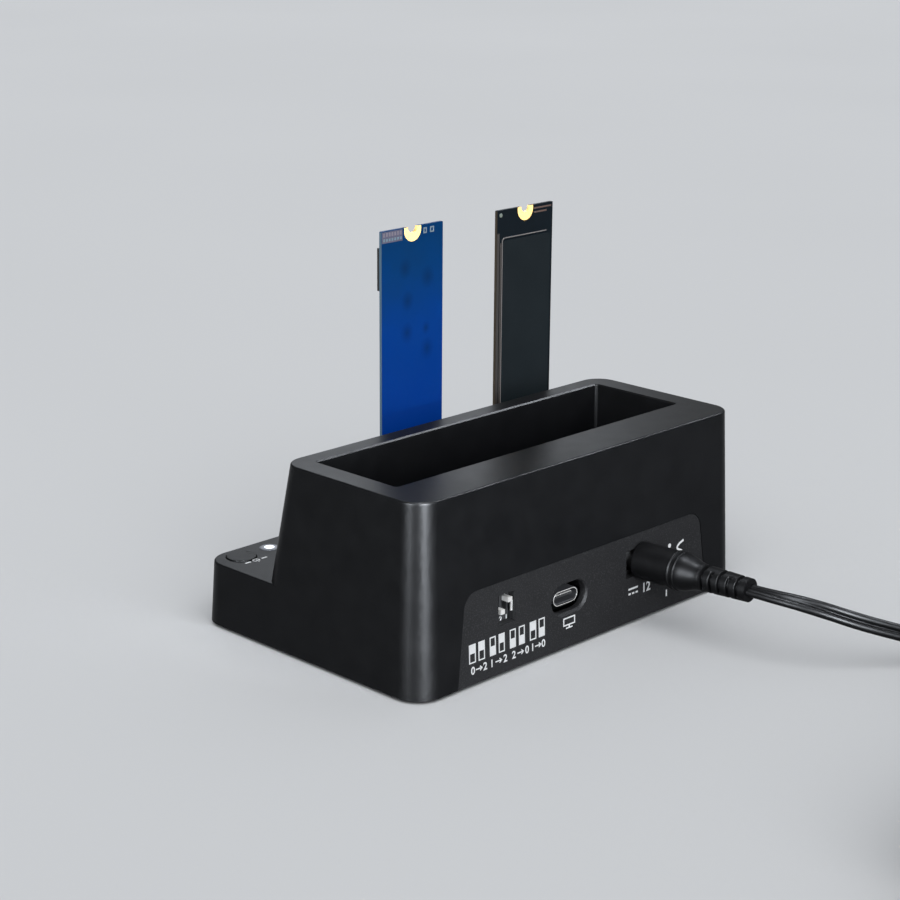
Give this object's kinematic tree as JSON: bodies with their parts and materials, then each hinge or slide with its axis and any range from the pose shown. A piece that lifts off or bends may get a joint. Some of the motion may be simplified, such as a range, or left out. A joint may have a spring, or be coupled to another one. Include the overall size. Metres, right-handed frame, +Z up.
{
  "type": "ssd docking station",
  "caption": "Desk dock with a top bay for a 3.5 inch drive, a lower deck holding upright M.2 cards, rear mode switch, USB-C socket and DC jack with its power lead plugged in.",
  "frame": {"origin": "centre of the case's footprint, on the surface it stands on", "axes": "+Z up, +Y out of the rear panel with the sockets, -Y towards the deck with the buttons, +X towards the power button"},
  "size_m": [0.1431, 0.2487, 0.0973],
  "materials": {
    "case_plastic": "black satin moulded plastic",
    "cover_plastic": "black matt moulded plastic",
    "panel_plastic": "black fine-textured plastic",
    "button_plastic": "black smooth plastic",
    "socket_plastic": "black moulded plastic",
    "switch_plastic": "black moulded plastic",
    "slider_plastic": "white moulded plastic",
    "rubber": "black soft rubber",
    "steel": "bare steel",
    "nickel": "nickel plated",
    "gold": "gold plated",
    "board_mask": "black solder mask",
    "card_blue": "blue solder mask",
    "card_black": "blue-black solder mask",
    "heat_sheet": "dark satin film",
    "chip_black": "black moulded epoxy",
    "can_aluminium": "bare aluminium",
    "lamp_white": "frosted white plastic",
    "lead_black": "black flexible plastic",
    "adapter_plastic": "black fine-textured plastic",
    "brass": "brass"
  },
  "bodies": {
    "dock": {"case_shell": "case_plastic", "base_cover": "cover_plastic", "rear_panel": "panel_plastic", "case_screws": "steel", "rubber_feet": "rubber", "main_board": "board_mask", "board_screws": "steel", "drive_receptacle": "socket_plastic", "drive_contacts": "gold", "m2_socket_1": "socket_plastic", "m2_socket_2": "socket_plastic", "m2_contacts": "gold", "power_switch": "steel", "copy_switch": "steel", "power_light_pipe": "lamp_white", "progress_light_pipes": "lamp_white", "lamp_chips": "lamp_white", "mode_switch": "switch_plastic", "usb_c_shell": "nickel", "usb_c_tongue": "switch_plastic", "dc_jack": "socket_plastic", "dc_jack_pin": "nickel", "controller_chips": "chip_black", "power_inductors": "chip_black", "capacitor_cans": "can_aluminium", "clock_crystal": "nickel", "plug_barrel": "nickel", "plug_grip": "lead_black", "plug_strain_relief": "lead_black", "power_lead": "lead_black", "power_lead_tail": "lead_black", "power_lead_coil": "lead_black", "adapter_case": "adapter_plastic", "adapter_strain_relief": "lead_black", "adapter_blades": "brass"},
    "power_button_body": {"power_button": "button_plastic", "power_plunger": "switch_plastic"},
    "copy_button_body": {"copy_button": "button_plastic", "copy_plunger": "switch_plastic"},
    "slider_1_body": {"mode_slider_1": "slider_plastic"},
    "slider_2_body": {"mode_slider_2": "slider_plastic"},
    "card_1_body": {"m2_card_1_board": "card_blue", "m2_card_1_chips": "chip_black"},
    "card_2_body": {"m2_card_2_board": "card_black", "m2_card_2_chips": "chip_black", "m2_card_2_heat_sheet": "heat_sheet"}
  },
  "joints": [
    {"name": "power_button_press", "type": "slide", "parent": "dock", "child": "power_button_body", "axis": [0, 0, -1], "range_m": [0, 0.00035], "stiffness_N_per_m": 1500, "springref_m": -0.0002},
    {"name": "copy_button_press", "type": "slide", "parent": "dock", "child": "copy_button_body", "axis": [0, 0, -1], "range_m": [0, 0.00035], "stiffness_N_per_m": 1500, "springref_m": -0.0002},
    {"name": "mode_slider_1_shift", "type": "slide", "parent": "dock", "child": "slider_1_body", "axis": [0, 0, 1], "range_m": [0, 0.0026]},
    {"name": "mode_slider_2_shift", "type": "slide", "parent": "dock", "child": "slider_2_body", "axis": [0, 0, 1], "range_m": [-0.0026, 0]},
    {"name": "card_1_pull", "type": "slide", "parent": "dock", "child": "card_1_body", "axis": [0, 0, 1], "range_m": [0, 0.01]},
    {"name": "card_2_pull", "type": "slide", "parent": "dock", "child": "card_2_body", "axis": [0, 0, 1], "range_m": [0, 0.01]}
  ]
}
